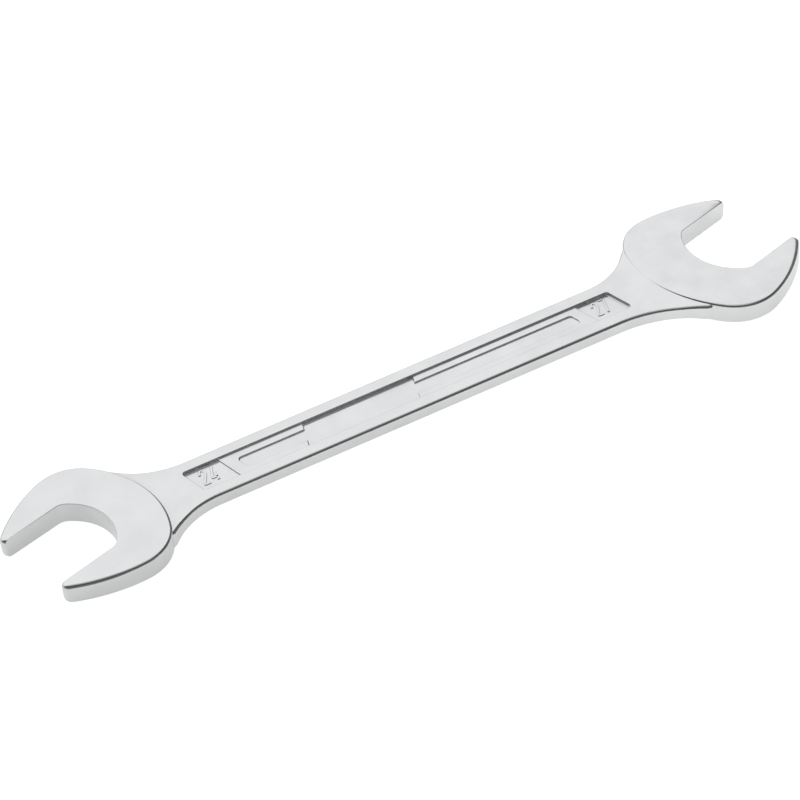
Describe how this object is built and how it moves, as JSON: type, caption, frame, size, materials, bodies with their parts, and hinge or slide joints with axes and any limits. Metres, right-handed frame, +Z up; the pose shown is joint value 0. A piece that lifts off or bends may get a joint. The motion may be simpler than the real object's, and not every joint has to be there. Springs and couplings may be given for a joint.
{
  "type": "open end wrench",
  "caption": "Open end wrench forged in one piece, with an angled open jaw at each end and a flat shank whose faces have a sunken panel.",
  "frame": {"origin": "on the surface that the wrench lies on, under the middle of its box", "axes": "+X along the shank from the small jaw to the large jaw, +Y across the shank, +Z up out of the face"},
  "size_m": [0.2602, 0.0538, 0.0067],
  "materials": {
    "satin_chrome": "satin chrome plate over forged steel"
  },
  "bodies": {
    "root": {"forged_wrench": "satin_chrome"}
  },
  "joints": []
}
